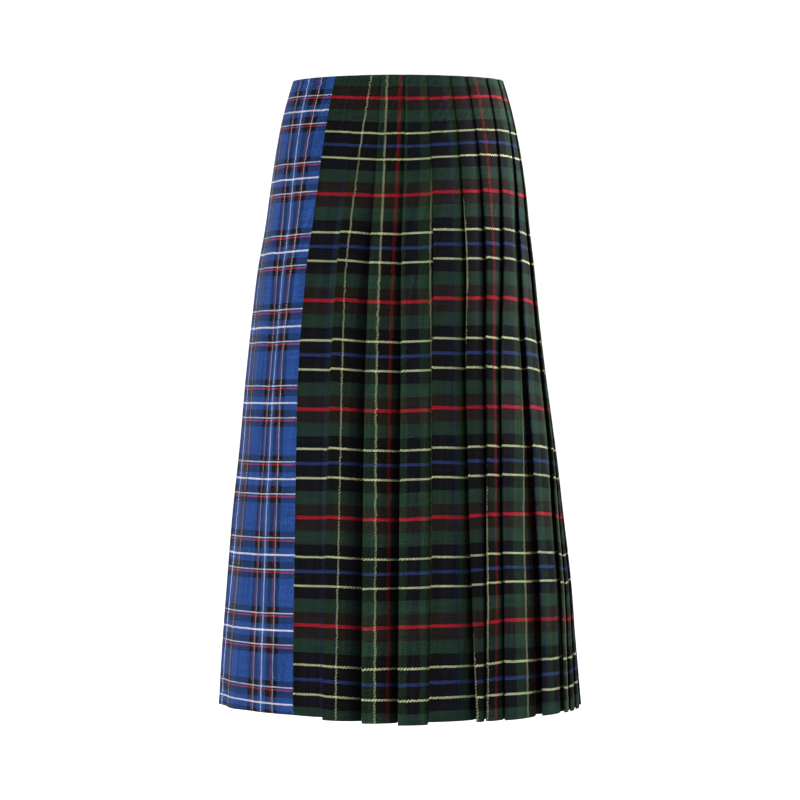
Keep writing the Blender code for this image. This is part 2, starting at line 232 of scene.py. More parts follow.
class PathMaker:
    # Collects columns of cloth in order: an angle and an inset for every row, which pleat's
    # check the cloth after the column carries, how much lower it hangs and its painted shade
    def __init__(self):
        self.angles, self.insets, self.owners, self.lower, self.edges = [], [], [], [], {}
        self.shades = []

    def add(self, angle, inset, owner, shorter=0.0, shade=1.0):
        # A hidden layer is shorter at the hem than the panels that lie on both sides of it
        drops = [hemDrops[min(panel, len(hemDrops) - 1)] for panel in (owner, owner + 1, owner + 2)]
        hidden = min(drops[max(0, -owner):]) if shorter else drops[1]
        self.angles.append(angle + 0 * rowDrops)
        self.insets.append(inset + 0 * rowDrops)
        self.owners.append(owner)
        self.lower.append((hidden - shorter) * mm)
        # Hidden layers get a fixed painted shade, darker than the panels that show
        self.shades.append((pleatShade["hidden"] if shorter else shade) + 0 * rowDrops)

    def points(self):
        return onRing(np.stack(self.angles, 1), np.stack(self.insets, 1))


def pleatSizes(i):
    fold = folds[i]
    isLast = i + 1 == len(folds)
    end = seamBack if isLast else folds[i + 1]["angle"]
    nextLift = 0 * rowDrops if isLast else folds[i + 1]["lift"]
    scale = metresPerDegree(fold["angle"])
    width = end - fold["angle"]
    depth = np.minimum(fold["underlay"] / scale, cloth["widestUnderlay"] * width)
    steepness = cloth["fall"] * nextLift / (width * scale)
    pitch = cloth["layerPitch"] * np.hypot(1.0, cloth["slantRoom"] * steepness)
    dip = nextLift * (depth / width) ** cloth["fall"]
    return dict(start=fold["angle"], width=width, nextLift=nextLift, scale=scale, depth=depth,
                pitch=pitch, deepest=2 * pitch + dip, lift=fold["lift"])


def addUnderLayer(path, i):
    # The panel before the fold, on its way to the hidden fold
    p = pleatSizes(i)
    for share in np.linspace(0.0, 1.0, cloth["layerColumns"]):
        inset = p["lift"] * (1 - share) + p["deepest"] * share
        path.add(p["start"] + share * p["depth"], inset, i - 1, cloth["underShorter"])
    return p


def addHiddenTurn(path, p, i):
    radius = p["pitch"] / 2
    for turn in (0.25, 0.5, 0.75):
        owner = i - 1 if turn < 0.5 else i
        path.add(p["start"] + p["depth"] + radius * math.sin(math.pi * turn) / p["scale"],
                 p["deepest"] - radius + radius * math.cos(math.pi * turn), owner, cloth["underShorter"])


def addMiddleAndPanel(path, i):
    # Back out from the hidden fold, round the fold that shows, and on over the panel
    p = pleatSizes(i)
    radius = p["pitch"] / 2
    inner = p["deepest"] - p["pitch"]
    for share in np.linspace(1.0, 0.0, cloth["layerColumns"]):
        inset = inner * share + p["pitch"] * (1 - share)
        path.add(p["start"] + share * p["depth"], inset, i, cloth["middleShorter"])
    for turn in (0.2, 0.4, 0.6, 0.8):
        path.add(p["start"] - radius * math.sin(math.pi * turn) / p["scale"],
                 radius + radius * math.cos(math.pi * turn), i)
    path.edges[i] = len(path.angles)
    for share in np.linspace(0.0, 1.0, panelColumns + 1)[:-1]:
        path.add(p["start"] + share * p["width"], p["nextLift"] * share ** cloth["fall"], i,
                 shade=shadeAt(share, p["nextLift"], p["start"] + p["width"]))


def frontPath():
    path = PathMaker()
    gap = cloth["seamGap"] / 2 / metresPerDegree(seamFront)
    start = seamFront + gap
    first = folds[0]
    edgeTurn, sideTurn = cloth["seamTurns"]
    path.add(start + gap, edgeTurn * mm, -1)
    path.add(start, sideTurn * mm, -1)
    path.edges[-1] = len(path.angles)
    for share in np.linspace(0.0, 1.0, panelColumns + 1)[:-1]:
        angle = start + gap + share * (first["angle"] - start - gap)
        path.add(angle, first["lift"] * share ** cloth["fall"], -1,
                 shade=shadeAt(share, first["lift"], first["angle"]))
    for i in range(sideSeamFold - 1):
        p = addUnderLayer(path, i)
        addHiddenTurn(path, p, i)
        addMiddleAndPanel(path, i)
    addUnderLayer(path, sideSeamFold - 1)
    return path


def backPath():
    path = PathMaker()
    addMiddleAndPanel(path, sideSeamFold - 1)
    for i in range(sideSeamFold, len(folds)):
        p = addUnderLayer(path, i)
        addHiddenTurn(path, p, i)
        addMiddleAndPanel(path, i)
    gap = cloth["seamGap"] / 2 / metresPerDegree(seamBack)
    edgeTurn, sideTurn = cloth["seamTurns"]
    for place, turned in ((2, 0.0), (1, sideTurn), (2, edgeTurn)):
        path.add(seamBack - place * gap, turned * mm, len(folds) - 1)
    return path


def alongRows(points):
    steps = np.linalg.norm(np.diff(points, axis=1), axis=-1)
    return np.concatenate([np.zeros((points.shape[0], 1)), np.cumsum(steps, axis=1)], axis=1)


def downColumns(points):
    steps = np.linalg.norm(np.diff(points, axis=0), axis=-1)
    return np.concatenate([np.zeros((1, points.shape[1])), np.cumsum(steps, axis=0)], axis=0)


def hangLower(points, lower):
    # Each column hangs lower by its own metres at the hem, and not at all at the waist
    points[..., 2] -= lower * (rowDrops / cloth["length"])[:, None] ** 1.5
    return points


def meshFromGrid(name, points, uv, shade):
    # uv holds, for each strip between two columns, the check's place at its left and right.
    # The yarns' own places are real distances over the cloth.
    rows, columns = points.shape[:2]
    index = np.arange(rows * columns).reshape(rows, columns)
    a, b = index[:-1, :-1], index[1:, :-1]
    c, d = index[1:, 1:], index[:-1, 1:]
    faces = np.stack([a, b, c, d], axis=-1).reshape(-1, 4)
    mesh = bpy.data.meshes.new(name)
    mesh.from_pydata(points.reshape(-1, 3).tolist(), [], faces.tolist())
    weave = np.stack([alongRows(points), downColumns(points)], axis=-1)
    for layerName, (left, right) in (("cloth", uv), ("weave", (weave[:, :-1], weave[:, 1:]))):
        corners = np.stack([left[:-1], left[1:], right[1:], right[:-1]], axis=2)
        layer = mesh.uv_layers.new(name=layerName)
        layer.data.foreach_set("uv", corners.reshape(-1).astype(np.float32))
    # The painted shade, as the share of its colour each point keeps
    dark = mesh.attributes.new("pleat shade", "FLOAT", "POINT")
    dark.data.foreach_set("value", shade.reshape(-1).astype(np.float32))
    mesh.validate()
    return mesh


def finishCloth(name, mesh, material, thickness=cloth["thickness"]):
    # A thin shell, evened out, with its edges kept crisp
    sheet = bpy.data.objects.new(name, mesh)
    bpy.context.scene.collection.objects.link(sheet)
    mesh.materials.append(material)
    wall = sheet.modifiers.new("Cloth thickness", "SOLIDIFY")
    wall.thickness = thickness
    wall.offset = 0.0
    wall.use_even_offset = True
    view = bpy.context.evaluated_depsgraph_get()
    solid = bpy.data.meshes.new_from_object(sheet.evaluated_get(view))
    sheet.modifiers.clear()
    sheet.data = solid
    solid.name = name
    solid.polygons.foreach_set("use_smooth", [True] * len(solid.polygons))
    solid.set_sharp_from_angle(angle=math.radians(cloth["sharpFrom"]))
    return sheet


# The warp check's place at the front seam, where the panel before the first fold starts
firstPanelCheck = np.interp(rowDrops, foldDrops, (40.4, 40.7, 41.3, 40.4, 39.8, 39.8)) * mm


def pleatedPanel(name, path, material):
    points = hangLower(path.points(), np.array(path.lower))
    along, down = alongRows(points), downColumns(points)

    def checkPlace(owner, column):
        start = firstPanelCheck if owner < 0 else folds[owner]["check"]
        edge = path.edges[owner]
        across = along[:, column] - along[:, edge]
        share = np.clip(across / (along[:, edge + panelColumns] - along[:, edge]), 0.0, 1.0)
        leftShift, rightShift = weftShifts[min(owner + 1, len(weftShifts) - 1)]
        shift = (smoothCurve(weftDrops, leftShift, down[:, column]) * (1 - share)
                 + smoothCurve(weftDrops, rightShift, down[:, column]) * share)
        u = start + across * np.interp(rowDrops, foldDrops, checkStretch.get(owner, (1.0,) * 6))
        return np.stack([u, down[:, column] - shift * mm], axis=-1)

    owners = path.owners
    strips = range(points.shape[1] - 1)
    left = np.stack([checkPlace(owners[j], j) for j in strips], axis=1)
    right = np.stack([checkPlace(owners[j], j + 1) for j in strips], axis=1)
    mesh = meshFromGrid(name, points, (left, right), np.stack(path.shades, 1))
    return finishCloth(name, mesh, material)


sidePanel = {
    "strips": 56,
    "firstWhite": 43.3,    # millimetres down to the first thick white line
    "checkAtSeam": 74.5,   # the warp check's place at the front seam, millimetres
    "foldsStart": 0.03,    # drop where the soft folds begin
    # soft folds: degrees round, half width in degrees, millimetres in at hip and hem
    "troughs": ((-56.5, 4.0, 2.6, 1.0), (-66.0, 5.0, -0.9, -1.6), (-78.0, 5.0, 1.6, 1.6),
                (-95.0, 8.0, -0.8, -2.0), (-115.0, 9.0, 1.0, 2.4), (-132.0, 7.0, -0.6, -1.6)),
    # how far the weft lines lie off the even check at these drops, at the seam and far round
    "weftDrops": (0.043, 0.135, 0.227, 0.411, 0.595, 0.687, 0.780),
    "weftShifts": ((-0.3, -6.9, -8.9, -6.9, -5.9, -6.1, -8.2),
                   (-1.3, -6.9, -6.9, -5.9, -2.9, -3.1, -8.2)),
    "farRound": 0.14,      # metres from the seam
    # where five of the warp's lines lie, in millimetres from the front seam, at these drops
    "lineDrops": (0.03, 0.10, 0.21, 0.33, 0.50, 0.70),
    "lines": {
        25.2:  (22.0, 26.0, 26.0, 29.0, 31.5, 34.0),
        46.1:  (43.0, 45.0, 44.0, 45.0, 51.0, 55.0),
        64.1:  (60.0, 60.0, 57.0, 53.0, 64.0, 71.0),
        117.2: (99.0, 90.0, 96.0, 98.0, 98.0, 127.0),
        138.1: (121.0, 108.0, 111.0, 119.0, 129.0, 152.0),
    },
    "hemDrop": ((0.0, 0.7, 0.85, 1.0), (0.0, 0.5, -1.0, -2.6)),   # share round, millimetres
}


def checkFromSeam(distance):
    # The warp check's place at each distance from the front seam. Soft folds squeeze it.
    known = np.array(list(sidePanel["lines"])) * mm
    seen = np.stack([smoothCurve(sidePanel["lineDrops"], places, rowDrops)
                     for places in sidePanel["lines"].values()], axis=1) * mm
    steps = np.diff(known) / np.diff(seen, axis=1)
    place = known[0] + np.minimum(distance - seen[:, :1], 0.0)
    for i in range(len(known) - 1):
        within = np.clip(distance - seen[:, i:i + 1], 0.0, (seen[:, i + 1] - seen[:, i])[:, None])
        place = place + within * steps[:, i:i + 1]
    return place + np.maximum(distance - seen[:, -1:], 0.0)


def troughInset(angles, drops):
    # How far in from the ring the soft folds lie
    inset = 0 * angles
    for place, halfWidth, hip, hem in sidePanel["troughs"]:
        depth = hipToHem(sidePanel["foldsStart"], hip, hem, drops) * mm
        inset = inset + depth * np.exp(-((angles - place) / halfWidth) ** 2)
    return inset


def flatPanel(name, material):
    start = seamBack - 360 + cloth["seamGap"] / 2 / metresPerDegree(seamBack)
    end = seamFront - cloth["seamGap"] / 2 / metresPerDegree(seamFront)
    share = np.linspace(0.0, 1.0, sidePanel["strips"] + 1)
    share = np.concatenate([[0.001, 0.0], share[1:-1], [1.0, 0.999]])[None, :]    # both ends turn back
    angles = start[:, None] * (1 - share) + end[:, None] * share
    inset = troughInset(angles, rowDrops[:, None])
    edgeTurn, sideTurn = cloth["seamTurns"]
    inset[:, [0, -1]] += edgeTurn * mm
    inset[:, [1, -2]] += sideTurn * mm
    points = hangLower(onRing(angles, inset), np.interp(share[0], *sidePanel["hemDrop"]) * mm)
    along, down = alongRows(points), downColumns(points)
    fromSeam = along[:, -1:] - along
    near, far = [smoothCurve(sidePanel["weftDrops"], shifts, down) for shifts in sidePanel["weftShifts"]]
    v = down - (near + (far - near) * np.clip(fromSeam / sidePanel["farRound"], 0.0, 1.0)) * mm
    place = np.stack([checkFromSeam(fromSeam), v], axis=-1)
    mesh = meshFromGrid(name, points, (place[:, :-1], place[:, 1:]), np.ones(along.shape))
    return finishCloth(name, mesh, material)


# Shader parts

def socket(group, name, kind, way, value=None):
    made = group.interface.new_socket(name=name, in_out=way, socket_type=kind)
    if value is not None:
        made.default_value = value
    return made


class Wiring:
    # Short names for adding and linking nodes in one tree
    def __init__(self, tree):
        self.tree = tree

    def node(self, kind, **settings):
        made = self.tree.nodes.new(kind)
        for name, value in settings.items():
            setattr(made, name, value)
        return made

    def feed(self, target, value):
        if isinstance(value, bpy.types.NodeSocket):
            self.tree.links.new(value, target)
        else:
            target.default_value = value

    def math(self, operation, *values):
        made = self.node("ShaderNodeMath", operation=operation)
        for i, value in enumerate(values):
            self.feed(made.inputs[i], value)
        return made.outputs[0]

    def vector(self, x, y):
        made = self.node("ShaderNodeCombineXYZ")
        self.feed(made.inputs[0], x)
        self.feed(made.inputs[1], y)
        return made.outputs[0]

    def noise(self, place, scale, detail=2.0, roughness=0.5):
        made = self.node("ShaderNodeTexNoise", noise_dimensions="2D")
        self.feed(made.inputs["Vector"], place)
        self.feed(made.inputs["Scale"], scale)
        made.inputs["Detail"].default_value = detail
        made.inputs["Roughness"].default_value = roughness
        return made.outputs["Fac"]

    def spread(self, value, low, high, toLow=0.0, toHigh=1.0, smooth=False):
        made = self.node("ShaderNodeMapRange")
        if smooth:
            made.interpolation_type = "SMOOTHSTEP"
        self.feed(made.inputs["Value"], value)
        for i, number in enumerate((low, high, toLow, toHigh)):
            self.feed(made.inputs[i + 1], number)
        return made.outputs[0]

    def mix(self, blend, factor, first, second):
        made = self.node("ShaderNodeMix", data_type="RGBA", blend_type=blend)
        self.feed(made.inputs[0], factor)
        self.feed(made.inputs[6], first)
        self.feed(made.inputs[7], second)
        return made.outputs[2]


def linear(colour):
    # sRGB from 0 to 255 to the linear colour that shaders use
    c = np.asarray(colour, float) / 255
    return (*np.where(c <= 0.04045, c / 12.92, ((c + 0.055) / 1.055) ** 2.4).tolist(), 1.0)


# The wool twill, in metres. Pairs say how fast a noise changes across and down.
woolTwill = {
    "inputs": {"Twill Pitch": 0.0039, "Warp Wobble": 0.0030, "Weft Wobble": 0.0015, "Mottle": 1.4},
    "warpDrift": (14.0, 170.0), "weftDrift": (420.0, 30.0),
    "streaks": (230.0, 9.0), "bars": (9.0, 230.0), "loose": 640.0, "fibre": 470.0,
    "looseInTwill": 0.8, "looseInHeight": 0.6,
    "ridgeToWarp": (0.25, 0.75, 0.04, 0.96),    # low and high ridge, and the warp's share there
    "streakWeight": 0.7, "barWeight": 0.4, "fibreWeight": 1.9,
    "evenShade": 1.5,                           # the three weights at the noises' middle
}


def twillGroup():
    # Wool twill: how the yarns wander, which one is on top, its height and its mottle
    group = bpy.data.node_groups.new("wool twill", "ShaderNodeTree")
    socket(group, "Place", "NodeSocketVector", "INPUT")
    for name, value in woolTwill["inputs"].items():
        socket(group, name, "NodeSocketFloat", "INPUT", value)
    for name in ("Warp Drift", "Weft Drift", "Warp On Top", "Height", "Shade"):
        socket(group, name, "NodeSocketFloat", "OUTPUT")
    w = Wiring(group)
    inputs = w.node("NodeGroupInput").outputs
    outputs = w.node("NodeGroupOutput").inputs
    split = w.node("ShaderNodeSeparateXYZ")
    w.feed(split.inputs[0], inputs["Place"])
    u, v = split.outputs[0], split.outputs[1]

    def stretched(name, detail):
        across, downward = woolTwill[name]
        place = w.vector(w.math("MULTIPLY", u, across), w.math("MULTIPLY", v, downward))
        return w.noise(place, 1.0, detail)

    drift = w.math("SUBTRACT", stretched("warpDrift", 2.0), 0.5)
    w.feed(outputs["Warp Drift"], w.math("MULTIPLY", drift, inputs["Warp Wobble"]))
    slub = w.math("SUBTRACT", stretched("weftDrift", 1.0), 0.5)
    w.feed(outputs["Weft Drift"], w.math("MULTIPLY", slub, inputs["Weft Wobble"]))

    diagonal = w.math("FRACT", w.math("DIVIDE", w.math("ADD", u, v), inputs["Twill Pitch"]))
    ridge = w.math("PINGPONG", w.math("MULTIPLY", diagonal, 2.0), 1.0)
    loose = w.noise(inputs["Place"], woolTwill["loose"], 2.0, 0.6)
    frayed = w.math("MULTIPLY_ADD", w.math("SUBTRACT", loose, 0.5), woolTwill["looseInTwill"], ridge)
    w.feed(outputs["Warp On Top"], w.spread(frayed, *woolTwill["ridgeToWarp"], smooth=True))
    w.feed(outputs["Height"], w.math("MULTIPLY_ADD", loose, woolTwill["looseInHeight"], ridge))

    streaks, bars = stretched("streaks", 2.0), stretched("bars", 2.0)
    fibre = w.noise(inputs["Place"], woolTwill["fibre"], 3.0, 0.8)
    lengthwise = w.math("MULTIPLY_ADD", streaks, woolTwill["streakWeight"],
                        w.math("MULTIPLY", bars, woolTwill["barWeight"]))
    uneven = w.math("ADD", lengthwise, w.math("MULTIPLY", fibre, woolTwill["fibreWeight"]))
    apart = w.math("SUBTRACT", uneven, woolTwill["evenShade"])
    w.feed(outputs["Shade"], w.math("MULTIPLY_ADD", apart, inputs["Mottle"], 1.0))
    return group


def stripeRamp(w, place, repeat, stripes):
    # stripes are (colour, width) from the start of one repeat
    ramp = w.node("ShaderNodeValToRGB")
    ramp.color_ramp.interpolation = "CONSTANT"
    total = sum(width for _, width in stripes)
    w.feed(ramp.inputs[0], w.math("FRACT", w.math("DIVIDE", place, repeat)))
    at = 0.0
    for i, (colour, width) in enumerate(stripes):
        stops = ramp.color_ramp.elements
        stop = stops[i] if i < 2 else stops.new(at / total)     # a new ramp has two stops
        stop.position = at / total
        stop.color = linear(colour)
        at += width
    return ramp.outputs[0]


# The green check: yarn colours in sRGB, and the stripes in order with their widths
greenCheck = {
    "sheen": 0.01,
    "repeat": 0.130,
    "firstRed": 0.0278,   # from the top edge down to the first red line
    "halfRed": 0.00186,   # half the width of a red weft line
    "warp": (("red", 3.5), ("black", 27.6), ("yellow", 2.0), ("black", 9.9), ("navy", 16),
             ("blue", 3), ("green", 9), ("navy", 13), ("green", 12), ("yellow", 2.0),
             ("black", 11.0)),
    "weft": (("red", 3.2), ("brown", 12.2), ("green", 14), ("black", 12.1), ("yellow", 2.1),
             ("black", 12.3), ("blue", 3.5), ("black", 12.3), ("yellow", 2.1), ("black", 12.1),
             ("green", 14), ("brown", 12.2)),
    "warpYarn": {"red": (86, 13, 18), "black": (13, 13, 13), "yellow": (124, 127, 98),
                 "navy": (15, 16, 25), "blue": (22, 28, 58), "green": (28, 45, 32)},
    "weftYarn": {"red": (164, 25, 40), "brown": (35, 28, 21), "green": (34, 56, 43),
                 "black": (12, 12, 12), "yellow": (188, 192, 147), "blue": (39, 54, 101)},
}
# The blue check is the same both ways. Its widths are in 1/74 of a repeat.
blueCheck = {
    "sheen": 0.10,
    "repeat": 0.092,
    "thickMiddle": 23.0 / 74,     # where the thick line's middle lies in a repeat
    "order": (("navy", 5.6), ("white", 1.2), ("navy", 1.5), ("red", 1.4), ("navy", 6.8),
              ("blue", 5.6), ("thick", 1.8), ("blue", 5.6),
              ("navy", 7.4), ("white", 1.2), ("navy", 1.3), ("red", 1.4), ("navy", 5.2), ("blue", 28)),
    "warpYarn": {"navy": (17, 17, 17), "white": (166, 172, 186), "red": (120, 22, 26),
                 "blue": (34, 64, 121), "thick": (186, 190, 202)},
    "weftYarn": {"navy": (17, 17, 17), "white": (196, 202, 212), "red": (160, 36, 44),
                 "blue": (34, 64, 121), "thick": (232, 234, 240)},
}


def clothMaterial(name, check, warp, weft, startU, startV, twill):
    # Two checks of stripes, one for each set of yarns, mixed by the twill, darkened by the yarns'
    # own mottle and by the pleats' painted shade
    material = bpy.data.materials.new(name)
    material.use_nodes = True
    w = Wiring(material.node_tree)
    shader = material.node_tree.nodes["Principled BSDF"]
    place = w.node("ShaderNodeSeparateXYZ")
    w.feed(place.inputs[0], w.node("ShaderNodeUVMap", uv_map="cloth").outputs[0])
    yarns = w.node("ShaderNodeGroup", node_tree=twill)
    w.feed(yarns.inputs["Place"], w.node("ShaderNodeUVMap", uv_map="weave").outputs[0])
    u = w.math("ADD", w.math("ADD", place.outputs[0], yarns.outputs["Warp Drift"]), startU)
    v = w.math("ADD", w.math("ADD", place.outputs[1], yarns.outputs["Weft Drift"]), startV)
    warpColour = stripeRamp(w, u, check["repeat"], [(check["warpYarn"][c], s) for c, s in warp])
    weftColour = stripeRamp(w, v, check["repeat"], [(check["weftYarn"][c], s) for c, s in weft])
    colour = w.mix("MIX", yarns.outputs["Warp On Top"], weftColour, warpColour)
    shade = w.node("ShaderNodeCombineColor")
    # Painted shade near the folds, multiplied with the yarns' own mottle
    pleat = w.node("ShaderNodeAttribute", attribute_name="pleat shade").outputs["Fac"]
    darker = w.math("MULTIPLY", yarns.outputs["Shade"], pleat)
    for i in range(3):
        w.feed(shade.inputs[i], darker)
    w.feed(shader.inputs["Base Color"], w.mix("MULTIPLY", 1.0, colour, shade.outputs[0]))
    bump = w.node("ShaderNodeBump")
    bump.inputs["Strength"].default_value = 0.35
    bump.inputs["Distance"].default_value = 0.0003
    w.feed(bump.inputs["Height"], yarns.outputs["Height"])
    w.feed(shader.inputs["Normal"], bump.outputs[0])
    shader.inputs["Roughness"].default_value = 0.85
    shader.inputs["Specular IOR Level"].default_value = 0.03
    shader.inputs["Sheen Weight"].default_value = check["sheen"]
    shader.inputs["Sheen Roughness"].default_value = 0.4
    return material


twill = twillGroup()
redStart = greenCheck["repeat"] - greenCheck["firstRed"] + greenCheck["halfRed"]
greenCloth = clothMaterial("green check wool", greenCheck, greenCheck["warp"], greenCheck["weft"],
                           0.0, redStart, twill)
thickStart = blueCheck["thickMiddle"] * blueCheck["repeat"] - sidePanel["firstWhite"] * mm
blueCloth = clothMaterial("blue check wool", blueCheck, blueCheck["order"], blueCheck["order"],
                          sidePanel["checkAtSeam"] * mm, blueCheck["repeat"] + thickStart, twill)
print("materials made")

frontCloth = frontPath()
backCloth = backPath()
greenFront = pleatedPanel("greenFrontPanel", frontCloth, greenCloth)
greenBack = pleatedPanel("greenBackPanel", backCloth, greenCloth)
blueSide = flatPanel("blueSidePanel", blueCloth)
for piece, node, slotName in ((greenFront, "front_panel", "green_check"),
                              (greenBack, "back_panel", "green_check"),
                              (blueSide, "side_panel", "blue_check")):
    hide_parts(node)
    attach(piece, "skirt")
print("cloth made")


def enamelMaterial():
    # Dark enamel, worn a little lighter and smoother in places
    material = bpy.data.materials.new("dark enamelled metal")
    material.use_nodes = True
    w = Wiring(material.node_tree)
    shader = material.node_tree.nodes["Principled BSDF"]
    place = w.node("ShaderNodeTexCoord").outputs["Object"]
    worn = w.spread(w.noise(place, 900.0, 3.0), 0.55, 0.7)
    w.feed(shader.inputs["Base Color"], w.mix("MIX", worn, linear((34, 35, 40)), linear((92, 92, 96))))
    w.feed(shader.inputs["Roughness"], w.spread(worn, 0.0, 1.0, 0.52, 0.40))
    shader.inputs["Metallic"].default_value = 0.8
    return material


# Stitches, and the closed zip's tape and coil inside the back seam

sewing = {
    "threadRadius": 0.00022,
    "topDrop": 0.006, "topSpacing": 0.0034, "topStitch": 0.0026,
    "hemRise": 0.026, "hemSpacing": 0.0075, "hemStitch": 0.0028,
    "unevenness": 0.07,
    "samplesPerTurn": 900, "sideSamples": 200,
    "greenEnd": 0.6, "blueEnd": 1.2,     # degrees left free at each end of a row
}
zipInside = {
    "start": 0.006, "end": 0.190,        # drops from the top edge
    "tapeStart": 0.002, "tapePast": 0.012,      # where the tape starts, and how far it runs on
    "tapeInset": 0.0036, "tapeHalf": 0.0120, "tapeThickness": 0.0005, "tapeColumns": 9,
    "coilInset": 0.0050, "coilSize": 0.0011, "coilWire": 0.00035, "coilPitch": 0.0012,
    "tapeStitchAt": 0.0085,              # from the seam out to the stitches in the tape
    "stitchInset": 0.0003,               # how far in from the tape's middle they lie
    "stitchSpacing": 0.0030, "stitch": 0.0023,
}


def rowTree(name, shapeAt, sizes):
    # A tree that sets one small shape at even steps along curves. Sizes are its own inputs.
    tree = bpy.data.node_groups.new(name, "GeometryNodeTree")
    socket(tree, "Path", "NodeSocketGeometry", "INPUT")
    for size, value in sizes.items():
        socket(tree, size, "NodeSocketFloat", "INPUT", value)
    socket(tree, "Seed", "NodeSocketInt", "INPUT", 7)
    socket(tree, "Material", "NodeSocketMaterial", "INPUT")
    socket(tree, "Geometry", "NodeSocketGeometry", "OUTPUT")
    w = Wiring(tree)
    inputs = w.node("NodeGroupInput").outputs
    steps = w.node("GeometryNodeCurveToPoints", mode="LENGTH")
    w.feed(steps.inputs["Curve"], inputs["Path"])
    w.feed(steps.inputs["Length"], inputs["Spacing"])
    shake = w.node("FunctionNodeRandomValue", data_type="FLOAT_VECTOR")
    least = w.math("MULTIPLY", inputs["Unevenness"], -1.0)
    for i, value in enumerate((least, inputs["Unevenness"])):
        corner = w.node("ShaderNodeCombineXYZ")
        for axis in range(3):
            w.feed(corner.inputs[axis], value)
        w.feed(shake.inputs[i], corner.outputs[0])
    w.feed(shake.inputs["Seed"], inputs["Seed"])
    turned = w.node("FunctionNodeRotateRotation", rotation_space="LOCAL")
    w.feed(turned.inputs["Rotation"], steps.outputs["Rotation"])
    w.feed(turned.inputs["Rotate By"], shake.outputs["Value"])
    placed = w.node("GeometryNodeInstanceOnPoints")
    w.feed(placed.inputs["Points"], steps.outputs["Points"])
    w.feed(placed.inputs["Instance"], shapeAt(w, inputs))
    w.feed(placed.inputs["Rotation"], turned.outputs["Rotation"])
    real = w.node("GeometryNodeRealizeInstances")
    w.feed(real.inputs[0], placed.outputs[0])
    paint = w.node("GeometryNodeSetMaterial")
    w.feed(paint.inputs["Geometry"], real.outputs[0])
    w.feed(paint.inputs["Material"], inputs["Material"])
    w.feed(w.node("NodeGroupOutput").inputs["Geometry"], paint.outputs[0])
    return tree


def stitchShape(w, inputs):
    bar = w.node("GeometryNodeMeshCylinder")
    bar.inputs["Vertices"].default_value = 7
    w.feed(bar.inputs["Radius"], inputs["Thread Radius"])
    w.feed(bar.inputs["Depth"], inputs["Stitch Length"])
    return bar.outputs["Mesh"]


def coilShape(w, inputs):
    turn = w.node("GeometryNodeCurvePrimitiveCircle")
    turn.inputs["Resolution"].default_value = 10
    w.feed(turn.inputs["Radius"], inputs["Coil Size"])
    wire = w.node("GeometryNodeCurvePrimitiveCircle")
    wire.inputs["Resolution"].default_value = 5
    w.feed(wire.inputs["Radius"], inputs["Wire Radius"])
    tube = w.node("GeometryNodeCurveToMesh")
    w.feed(tube.inputs["Curve"], turn.outputs["Curve"])
    w.feed(tube.inputs["Profile Curve"], wire.outputs["Curve"])
    return tube.outputs["Mesh"]


def rowAlong(name, tree, paths, settings, material):
    # Runs a tree along paths, each an array of points, and keeps the result as a plain mesh
    curve = bpy.data.curves.new(name, "CURVE")
    curve.dimensions = "3D"
    for points in paths:
        spline = curve.splines.new("POLY")
        spline.points.add(len(points) - 1)
        for point, place in zip(spline.points, points):
            point.co = (*place, 1.0)
    route = bpy.data.objects.new(name + "Route", curve)
    bpy.context.scene.collection.objects.link(route)
    maker = route.modifiers.new(tree.name, "NODES")
    maker.node_group = tree
    for item in tree.interface.items_tree:
        if item.item_type == "SOCKET" and item.in_out == "INPUT" and item.name in settings:
            maker[item.identifier] = settings[item.name]
        elif item.item_type == "SOCKET" and item.name == "Material":
            maker[item.identifier] = material
    view = bpy.context.evaluated_depsgraph_get()
    mesh = bpy.data.meshes.new_from_object(route.evaluated_get(view))
    bpy.data.objects.remove(route)
    made = bpy.data.objects.new(name, mesh)
    bpy.context.scene.collection.objects.link(made)
    mesh.polygons.foreach_set("use_smooth", [True] * len(mesh.polygons))
    return made


def ringRow(around, inset, row):
    # The points of one row, from its degrees and insets
    every = np.ones((cloth["rows"], 1))
    return onRing(every * around, every * inset)[row]


def innerRow(path, row, out):
    # A line round the innermost face of a pleated path at one row, out metres inside it
    angles = np.array([angle[row] for angle in path.angles])
    insets = np.array([inset[row] for inset in path.insets])
    ends = min(angles[0], angles[-1]), max(angles[0], angles[-1])
    count = int(sewing["samplesPerTurn"] * (ends[1] - ends[0]) / 360)
    around = np.linspace(ends[0] + sewing["greenEnd"], ends[1] - sewing["greenEnd"], count)
    deepest = np.zeros(count)
    for j in range(len(angles) - 1):
        low, high = sorted((angles[j], angles[j + 1]))
        crossed = (around >= low) & (around <= high) & (high > low)
        share = (around - angles[j]) / (angles[j + 1] - angles[j] or 1.0)
        inset = insets[j] * (1 - share) + insets[j + 1] * share
        deepest = np.where(crossed, np.maximum(deepest, inset), deepest)
    return ringRow(around, deepest + cloth["thickness"] / 2 + out, row)


def blueRow(row, out):
    # The same inside the side panel
    around = np.linspace(seamBack[row] - 360 + sewing["blueEnd"], seamFront[row] - sewing["blueEnd"],
                         sewing["sideSamples"])
    inset = troughInset(around, rowDrops[row]) + cloth["thickness"] / 2 + out
    return ringRow(around, inset, row)


def rowAt(drop):
    return int(np.argmin(np.abs(rowDrops - drop)))


def alongSeam(drops, across, inset):
    # Points beside the back seam on its inside, across metres round from it
    rows = slice(rowAt(drops[0]), rowAt(drops[1]) + 1)
    angle = (seamBack + across / metresPerDegree(seamBack))[:, None]
    return onRing(angle, inset + 0 * angle)[rows, 0]


